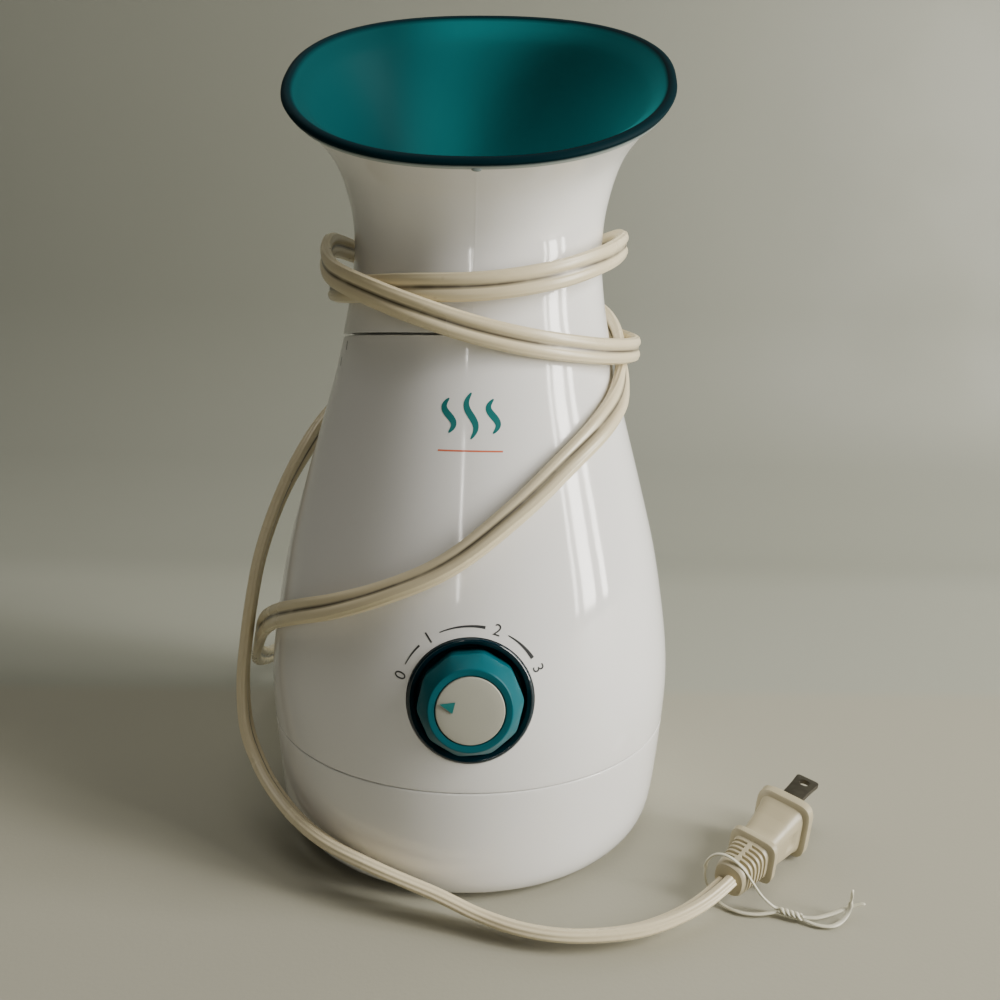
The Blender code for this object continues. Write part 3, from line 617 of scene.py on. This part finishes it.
ring_corners = [(body_radius(z), z, 0) for z in np.linspace(BASE_SEAM_Z - SEAM, 0.0045, 22)]
ring_corners[0] = (*ring_corners[0][:2], 0.00035)
ring_corners += [(0.0590, 0.0021, 0.0012), (0.0560, 0.0012, 0.0010)]
ring_corners += [(0.0530, 0.0012, 0.0003), (0.0530, 0.0042, 0.0003)]
ring_corners += [(body_radius(z) - WALL, z, 0) for z in np.linspace(0.0050, BASE_SEAM_Z - SEAM, 8)]
base_form = spun(eased(ring_corners))
GLAND_WALL_R = 0.0630
GLAND_HOLE_R = 0.0047
gland_place = Matrix.Translation((0, axis_y + GLAND_WALL_R, GLAND_Z)) @ Matrix.Rotation(math.pi / 2, 4, "X")
base_form = bored(base_form, GLAND_HOLE_R, 0.02, gland_place, 48)
put(base_form, "base_casing", white_abs, stands_for=["base_ring"])

# ---- Printing on the casing ----
# Screen-printed ink: numbers and fine arcs round the dial, two setting marks by the neck, and a plain device
# of three curls of steam over a rule.

# The ink lies as a thin satin film that shows as flat, even colour against the gloss.
grey_ink = finish("grey_screen_ink", ("3A3B3E", "303134"), 10, (0.4, 0.5), 0.4, 4)
teal_ink = finish("teal_screen_ink", ("006F70", "006766"), 10, (0.35, 0.45), 0.4, 4)
orange_ink = finish("orange_screen_ink", ("D9704F", "D26848"), 10, (0.35, 0.45), 0.4, 4)
INK_LIFT = 0.00004


def printed(form, name, ink):
    """Wraps flat ink, drawn as (sideways, 0, height), round the casing's front and gives it thickness."""
    for vert in form.verts:
        radius = body_radius(vert.co.z) + INK_LIFT
        turn = vert.co.x / radius
        vert.co = Vector((radius * math.sin(turn), axis_y - radius * math.cos(turn), vert.co.z))
    bmesh.ops.recalc_face_normals(form, faces=form.faces)
    centre = Vector((0, axis_y, 0))
    for face in form.faces:
        outward = face.calc_center_median() - centre
        if face.normal.dot(Vector((outward.x, outward.y, 0))) < 0:
            face.normal_flip()
    bmesh.ops.solidify(form, geom=form.faces, thickness=INK_LIFT * 0.7)
    return put(form, name, ink, crease=50)


def stroke(points, half_widths):
    """A flat pen stroke through (sideways, height) points."""
    form = bmesh.new()
    line = np.array(points, float)
    ahead = unit(np.gradient(line, axis=0))
    rows = []
    for (x, z), (dx, dz), half in zip(line, ahead, half_widths):
        rows.append([form.verts.new((x - dz * half, 0, z + dx * half)),
                     form.verts.new((x + dz * half, 0, z - dx * half))])
    for here, after in zip(rows, rows[1:]):
        form.faces.new((here[0], here[1], after[1], after[0]))
    return form


MARK_X, MARK_Z = -0.0012, 0.1306
CURLS = [(-0.0058, 0.0088), (0.0, 0.0118), (0.0058, 0.0088)]      # place to the side, height
CURL_RISE = 0.0012
CURL_SWAY = 0.0013
CURL_THIN, CURL_SWELL = 0.00015, 0.00075
RULE_DROP = 0.0077
RULE_HALF_LONG = 0.0085
RULE_HALF_THICK = 0.00022
for i, (shift, tall) in enumerate(CURLS):
    share = np.linspace(0, 1, 33)
    foot = MARK_Z - tall / 2 + CURL_RISE
    curl = [(MARK_X + shift + CURL_SWAY * math.sin(2 * math.pi * t), foot + t * tall) for t in share]
    half_widths = CURL_THIN + CURL_SWELL * np.sin(math.pi * share) ** 0.7
    printed(stroke(curl, half_widths), f"steam_curl_{i + 1}", teal_ink)
rule = [(MARK_X + x, MARK_Z - RULE_DROP) for x in np.linspace(-RULE_HALF_LONG, RULE_HALF_LONG, 17)]
printed(stroke(rule, np.full(17, RULE_HALF_THICK)), "rule_under_curls", orange_ink)

marks = [(163, "0"), (125, "1"), (70, "2"), (24, "3")]      # turn round the dial in degrees, number
NUMBER_HIGH = 0.0031
LETTERING_SIZE = NUMBER_HIGH * 1.38
MARK_RADIUS = 0.0191
ARC_GAP = 9.5                     # degrees kept clear round each number
ARC_HALF_THICK = 0.00014
ARC_SWELL = 0.00012               # added by the end of the first arc, and once more for each that follows
for turn, label in marks:
    text = bpy.data.curves.new("number", "FONT")
    text.body = label
    text.size = LETTERING_SIZE
    text.align_x = "CENTER"
    text.align_y = "CENTER"
    holder = bpy.data.objects.new("number", text)
    bpy.context.scene.collection.objects.link(holder)
    bpy.context.view_layer.update()
    flat = bpy.data.meshes.new_from_object(holder.evaluated_get(bpy.context.evaluated_depsgraph_get()))
    bpy.data.objects.remove(holder)
    number = bmesh.new()
    number.from_mesh(flat)
    bmesh.ops.remove_doubles(number, verts=number.verts, dist=1e-6)
    spin = Matrix.Rotation(math.radians(turn - 90), 4, "Z")
    t = math.radians(turn)
    for vert in number.verts:
        spot = spin @ vert.co
        vert.co = Vector((spot.x + MARK_RADIUS * math.cos(t), 0, DIAL_Z + spot.y + MARK_RADIUS * math.sin(t)))
    printed(number, f"dial_number_{label}", grey_ink)
for k, ((high_turn, _), (low_turn, _)) in enumerate(zip(marks, marks[1:])):
    arc = np.radians(np.linspace(high_turn - ARC_GAP, low_turn + ARC_GAP, 25))
    line = [(MARK_RADIUS * math.cos(t), DIAL_Z + MARK_RADIUS * math.sin(t)) for t in arc]
    half_widths = np.linspace(ARC_HALF_THICK, ARC_HALF_THICK + ARC_SWELL * (k + 1), 25)
    printed(stroke(line, half_widths), f"dial_arc_{k + 1}", grey_ink)

# Turn round the body in degrees, low end, high end, half thickness.
SETTING_MARKS = [(-68, 0.1436, 0.1462, 0.00032), (-64.5, 0.1482, 0.1508, 0.00026)]
for k, (turn, low, high, half) in enumerate(SETTING_MARKS):
    radius = body_radius(low)
    heights = np.linspace(low, high, 9)
    line = [(radius * math.radians(turn) + 0.0003 * k * math.sin(8 * z / low), z) for z in heights]
    printed(stroke(line, np.full(9, half)), f"setting_mark_{k + 1}", grey_ink)

# ---- Dial bezel ----
# A round well moulded in dark, see-through teal plastic. Its rim follows the casing's curve and stands half a
# millimetre proud, and its side slopes down to the floor that the knob turns over.

# Thick tinted styrene with a high gloss: nearly black, with teal only where light passes.
smoked_teal = finish("smoked_teal_styrene", ("02222D", "011A24"), 12, (0.06, 0.12), 4, 4, IOR=1.57)


def wall_drop(x, y):
    """Where the casing's wall lies along the dial's axis at a point of the dial's plane, in metres."""
    depth = 0.0
    for _ in range(12):
        spot = dial_place @ Vector((x, y, depth))
        depth += body_radius(spot.z) - math.hypot(spot.x, spot.y - axis_y)
    return depth


WELL_FLOOR = -0.0047
WELL_DEEP = 0.0046
bezel_corners = [
    (0.0164, -0.0062, 0.0003), (0.0164, 0.0004, 0.0005), (0.0158, 0.00075, 0.0003),
    (0.0152, 0.0003, 0.0003), (0.0147, -0.0001, 0.0005), (0.0139, WELL_FLOOR, 0.0006),
    (0.0044, WELL_FLOOR, 0.0002), (0.0044, -0.0062, 0.0002),
]
bezel_form = spun(eased(bezel_corners, 6), Matrix.Identity(4), 128)
for vert in bezel_form.verts:
    share = min(1, max(0, (vert.co.z - WELL_FLOOR) / WELL_DEEP))
    vert.co.z += share * wall_drop(vert.co.x, vert.co.y)
bmesh.ops.transform(bezel_form, matrix=dial_place, verts=bezel_form.verts)
put(bezel_form, "bezel_moulding", smoked_teal, stands_for=["dial_bezel"])

# ---- Dial knob, cap and pointer ----
# The knob is satin teal ABS with ten shallow scallops in its skirt. A pale satin disc is pressed into its
# front and carries a printed triangle that points to the chosen number.

# Both are spark-textured in the mould, which leaves a soft satin sheen and no sharp reflections.
teal_abs = finish("satin_teal_abs", ("005A65", "00535D"), 16, (0.34, 0.44), 0.3, 6, IOR=1.45,
                  Specular_IOR_Level=0.22)
pale_abs = finish("satin_pale_abs", ("A9A99D", "A1A195"), 14, (0.40, 0.50), 0.25, 6, IOR=1.50)
SCALLOPS = 10
SCALLOP_DEEP = 0.00045
SCALLOP_TURN = math.radians(203.5)
SCALLOP_TOP = 0.0042              # they run out at this height
SCALLOP_FADE = 0.0022             # and reach their full depth this far below it
FACE_R = 0.0108                   # the scallops stop short of the front face
knob_corners = [
    (0.0033, -0.0042, 0.0002), (0.0055, -0.0042, 0.0002), (0.0058, 0.0030, 0), (0.0088, 0.0030, 0),
    (0.0110, -0.0042, 0.0002), (0.0132, -0.0042, 0.0003), (0.01335, -0.0012, 0), (0.01355, 0.0020, 0.0004),
    (0.0129, 0.0030, 0), (0.0122, 0.0041, 0), (0.0115, 0.0052, 0), (0.0108, 0.0063, 0.0005),
    (0.0105, 0.0066, 0.0002), (0.0089, 0.0065, 0.0002), (0.0088, 0.0058, 0.0001), (0.0033, 0.0058, 0),
]
knob_form = spun(eased(knob_corners, 5), Matrix.Identity(4), 200)
for vert in knob_form.verts:
    radius = math.hypot(vert.co.x, vert.co.y)
    if radius < FACE_R:
        continue
    turn = math.atan2(vert.co.y, vert.co.x) - SCALLOP_TURN
    scallop = (0.5 + 0.5 * math.cos(SCALLOPS * turn)) ** 0.7
    depth = SCALLOP_DEEP * scallop * min(1, max(0, (SCALLOP_TOP - vert.co.z) / SCALLOP_FADE)) ** 1.2
    vert.co.x *= 1 - depth / radius
    vert.co.y *= 1 - depth / radius
bmesh.ops.transform(knob_form, matrix=dial_place, verts=knob_form.verts)
put(knob_form, "knob", teal_abs, "dial", ["dial_knob"])

cap_corners = [
    (0, 0.0060, 0), (0.0086, 0.0060, 0), (0.0086, 0.0067, 0.0003), (0.0060, 0.00695, 0), (0, 0.0071, 0),
]
cap_form = spun(eased(cap_corners, 5), dial_place, 128, closed=False)
put(cap_form, "knob_cap", pale_abs, "dial", ["dial_cap"])

POINTER_CORNERS = [(0.0078, 166), (0.0044, 147), (0.0044, 186)]      # distance out, turn in degrees
POINTER_BACK = 0.00712
POINTER_THICK = 0.00016
pointer_form = bmesh.new()
pointer_verts = []
for far, turn in POINTER_CORNERS:
    t = math.radians(turn)
    pointer_verts.append(pointer_form.verts.new((far * math.cos(t), far * math.sin(t), POINTER_BACK)))
pointer_form.faces.new(pointer_verts)
bmesh.ops.recalc_face_normals(pointer_form, faces=pointer_form.faces)
bmesh.ops.solidify(pointer_form, geom=pointer_form.faces, thickness=POINTER_THICK)
bmesh.ops.transform(pointer_form, matrix=dial_place, verts=pointer_form.verts)
put(pointer_form, "knob_pointer", teal_ink, "dial", ["dial_pointer"])

# ---- Head shell ----
# The lift-off nozzle's outer skin, gloss white ABS, round at its seat and flaring to a leaning oval mouth. A
# fine flash line runs up its front where the two halves of the mould met.
HEAD_TURN = math.radians(-4.0)
HEAD_STATIONS = [               # centre y, centre z, lean, half width, half depth
    (0.0000, 0.1530, 0.0, 0.0414, 0.0414),
    (0.0000, 0.1665, 2.0, 0.0390, 0.0390),
    (0.0000, 0.1805, 8.0, 0.0378, 0.0383),
    (-0.0011, 0.1945, 18.0, 0.0390, 0.0410),
    (-0.0045, 0.2095, 28.5, 0.0438, 0.0460),
    (-0.0118, 0.2248, 38.0, 0.0550, 0.0533),
]
RIM_SQUARENESS = 2.28
RIM_TAPER = -0.09
station_rows = smooth_through(HEAD_STATIONS, 16)
head_place = axis @ Matrix.Rotation(HEAD_TURN, 4, "Z")
flash_line = math.radians(2.2)
head_turns = np.sort(np.concatenate([np.linspace(0, 2 * math.pi, ROUND, endpoint=False) + 1e-4,
                                     flash_line + np.radians([-0.8, -0.35, -0.12, 0.12, 0.35, 0.8])]))


def oval(share, inset=0.0, along=0.0, raised=0.0):
    """The head's cross-section at a share of its height, from 0 at the seat to 1 at the rim."""
    spot = share * (len(station_rows) - 1)
    rows_up = range(len(station_rows))
    y, z, lean, across, deep = [np.interp(spot, rows_up, station_rows[:, i]) for i in range(5)]
    lean = math.radians(lean)
    power = 2 / (2 + (RIM_SQUARENESS - 2) * share)
    out = []
    for turn in head_turns:
        grow = raised if abs(turn - flash_line) < math.radians(0.2) else 0.0
        s, c = math.sin(turn), -math.cos(turn)
        x = (across - inset + grow) * np.sign(s) * abs(s) ** power * (1 - RIM_TAPER * share * c)
        v = (deep - inset + grow) * np.sign(c) * abs(c) ** power
        out.append(head_place @ Vector((x, y + v * math.cos(lean) - along * math.sin(lean),
                                        z + v * math.sin(lean) + along * math.cos(lean))))
    return out


def level(radius, height):
    """A level round ring of the head."""
    return [head_place @ Vector((radius * math.sin(t), -radius * math.cos(t), height)) for t in head_turns]


FLASH = 0.000018                  # how far the flash line stands proud
shell_top = 0.958
shell_rings = [level(0.0382, 0.1464), level(0.0382, 0.1529), level(0.0408, 0.1529), level(0.04125, 0.15295)]
shell_rings.append(oval(0.006, 0.00005, raised=FLASH))
shell_rings += [oval(s, raised=FLASH) for s in np.linspace(0.015, shell_top, 54)]
shell_rings += [oval(shell_top + 0.004, 0.0003), oval(shell_top + 0.004, WALL - 0.0003)]
shell_rings += [oval(s, WALL) for s in np.linspace(shell_top, 0.03, 18)]
shell_rings += [level(0.0366, 0.1560), level(0.0366, 0.1464)]
put(skin_through(shell_rings, joined=True), "head_casing", white_abs, "head", ["head_shell"])

# ---- Funnel ----
# The bowl that spreads the steam, clear styrene tinted teal, so thick edges look almost black. Its rolled lip
# hooks over the head shell, and the mould's gate left a small clear lump at the front.
inset = WALL + 0.0005
LIP = 0.0016
GATE_R = 0.001
GATE_STRETCH = (1.3, 0.5, 0.55)
funnel_rings = [level(0.0122, 0.1600), level(0.0335, 0.1618)]
funnel_rings += [oval(s, inset) for s in np.linspace(0.28, 0.955, 24)]
rim_start = len(funnel_rings)
funnel_rings += [oval(0.9655, inset), oval(0.9655, -0.0002), oval(0.9530, -0.0003), oval(0.9525, -0.0006)]
funnel_rings += [oval(0.9535, -0.0009), oval(0.9560, -0.0011), oval(0.970, -0.0012), oval(0.985, -0.0011)]
funnel_rings += [oval(0.996, -0.0009), oval(1.0, -0.0005, 0.0002), oval(1.0, 0.0002, 0.0006)]
funnel_rings += [oval(1.0, 0.0010, 0.0007), oval(1.0, 0.0018, 0.0005), oval(0.996, 0.0025, 0.0)]
lip_inner = len(funnel_rings)
funnel_rings += [oval(0.985, 0.0031), oval(0.970, inset + LIP - 0.0003)]
funnel_rings += [oval(s, inset + LIP) for s in np.linspace(0.955, 0.28, 36)]
funnel_rings += [level(0.0318, 0.1634), level(0.0122, 0.1616)]
funnel_form = skin_through(funnel_rings, joined=True)
rim_layer = funnel_form.verts.layers.float.new("rim")
# These rows along the lip's lower edge get a painted highlight.
lip_highlight_layer = funnel_form.verts.layers.float.new("lip_highlight_paint")
funnel_form.verts.ensure_lookup_table()
for i, vert in enumerate(funnel_form.verts):
    row = i // len(head_turns)
    vert[rim_layer] = 1.0 if rim_start <= row < lip_inner - 1 else 0.0
    vert[lip_highlight_layer] = 1.0 if rim_start + 2 <= row <= rim_start + 6 else 0.0

# Tinted styrene: a soft clear teal with painted light that pales it lower in the bowl and painted shade that
# deepens it on its left side, near black along the lip, and a pale painted highlight along the lip's glassy
# lower edge.
tinted = finish("tinted_teal_styrene", ("007C82", "00747A"), 40, (0.55, 0.65), 5, 3, IOR=1.45,
                Specular_IOR_Level=0.05)
funnel_place = node(tinted.node_tree, "TexCoord").outputs["Object"]
funnel_x, _, funnel_z = node(tinted.node_tree, "SeparateXYZ", {0: funnel_place}).outputs
LIGHT_PAINT_Z = (0.248, 0.200)           # painted light grows from the first height down to the second
SHADE_PAINT_X = (0.000, -0.032)         # painted shade grows from the first x to the second
# Painted light: a paler teal laid over the lower part of the bowl.
painted_light_low = node(tinted.node_tree, "MapRange",
                  {"Value": funnel_z, "From Min": LIGHT_PAINT_Z[0], "From Max": LIGHT_PAINT_Z[1], "To Max": 0.75},
                  interpolation_type="SMOOTHSTEP")
painted_over(tinted, painted_light_low.outputs[0], "00BCC2")
# Painted shade: a deeper teal laid over the bowl's left side.
painted_shade_left = node(tinted.node_tree, "MapRange",
                  {"Value": funnel_x, "From Min": SHADE_PAINT_X[0], "From Max": SHADE_PAINT_X[1]},
                  interpolation_type="SMOOTHSTEP")
painted_over(tinted, painted_shade_left.outputs[0], "004246")
# The lip gets its near-black tint, and its lower edge a pale painted highlight.
for layer, colour in [("rim", "001F26"), ("lip_highlight_paint", "9EA9AA")]:
    painted_over(tinted, node(tinted.node_tree, "Attribute", attribute_name=layer).outputs["Fac"], colour)
put(funnel_form, "funnel_bowl", tinted, "head", ["funnel"])

gate = bmesh.new()
bmesh.ops.create_uvsphere(gate, u_segments=24, v_segments=12, radius=GATE_R)
gate_spot = oval(0.958, -0.0011)[int(np.argmin(abs(head_turns - flash_line)))]
gate_place = Matrix.Translation(gate_spot) @ Matrix.Diagonal((*GATE_STRETCH, 1))
bmesh.ops.transform(gate, matrix=gate_place, verts=gate.verts)
# A bead of the styrene, thin enough to look clear, with a bright polish.
gate_finish = finish("clear_gate_mark", ("8E9C9D", "7C8A8C"), 3, (0.08, 0.12), 2, 4, IOR=1.58)
put(gate, "funnel_gate_mark", gate_finish, "head", crease=90)

# ---- Inside and underneath ----
# Boiler, tank, switch and fixings keep the shapes of their design and get the finish of their material: cast
# and pressed metals, silicone, clear plastic, ceramic and coated board.

# Moulded plastics look soft and even, the cast alloy grainy and grey, the plated steel and brass bright, the
# silicone dull, the clear tank water-clean, and the board and the ceramic glassy.
inner_finishes = {
    "white_abs": finish("plain_white_abs", ("E6E5E0", "DDDBD4"), 30, (0.3, 0.42), 0.6, 12, IOR=1.54),
    "teal_translucent": finish("teal_styrene_duct", ("0A7C80", "086B70"), 20, (0.15, 0.22), 2, 8, IOR=1.58),
    "screw_steel": finish("zinc_plated_steel", ("B9BAB6", "9C9B92"), 4, (0.28, 0.42), 0.3, 8, Metallic=1.0),
    "shaft_brass": finish("turned_brass", ("B8964F", "A5813C"), 5, (0.25, 0.38), 0.25, 6, Metallic=1.0),
    "rubber_grey": finish("moulded_silicone", ("B0B0AB", "A3A39D"), 8, (0.6, 0.75), 0.4, 15, IOR=1.41),
    "boiler_alloy": finish("cast_aluminium", ("A8AAAC", "8F9091"), 6, (0.38, 0.55), 0.7, 25, Metallic=1.0),
    "clear_plastic": finish("clear_styrene", ("C9DEDD", "BDD4D3"), 25, (0.05, 0.10), 6, 5, IOR=1.58,
                            Transmission_Weight=0.7),
    "switch_black": finish("moulded_black_nylon", ("1F2022", "17181A"), 8, (0.45, 0.6), 0.4, 15, IOR=1.53),
    "board_green": finish("solder_masked_board", ("2C6B3A", "235C30"), 6, (0.25, 0.4), 0.8, 12, IOR=1.5),
    "ceramic_cream": finish("glazed_ceramic_sleeve", ("DCD3BC", "CFC5AB"), 6, (0.2, 0.35), 0.5, 10, IOR=1.52),
}
slot_of = {row["node"]: row["material_slot"] for row in frame["record"]["subparts"]}
for name, part in frame["nodes"].items():
    if part.hide_render:
        continue
    slot = slot_of[name]
    part.data.materials.clear()
    part.data.materials.append(inner_finishes[slot])
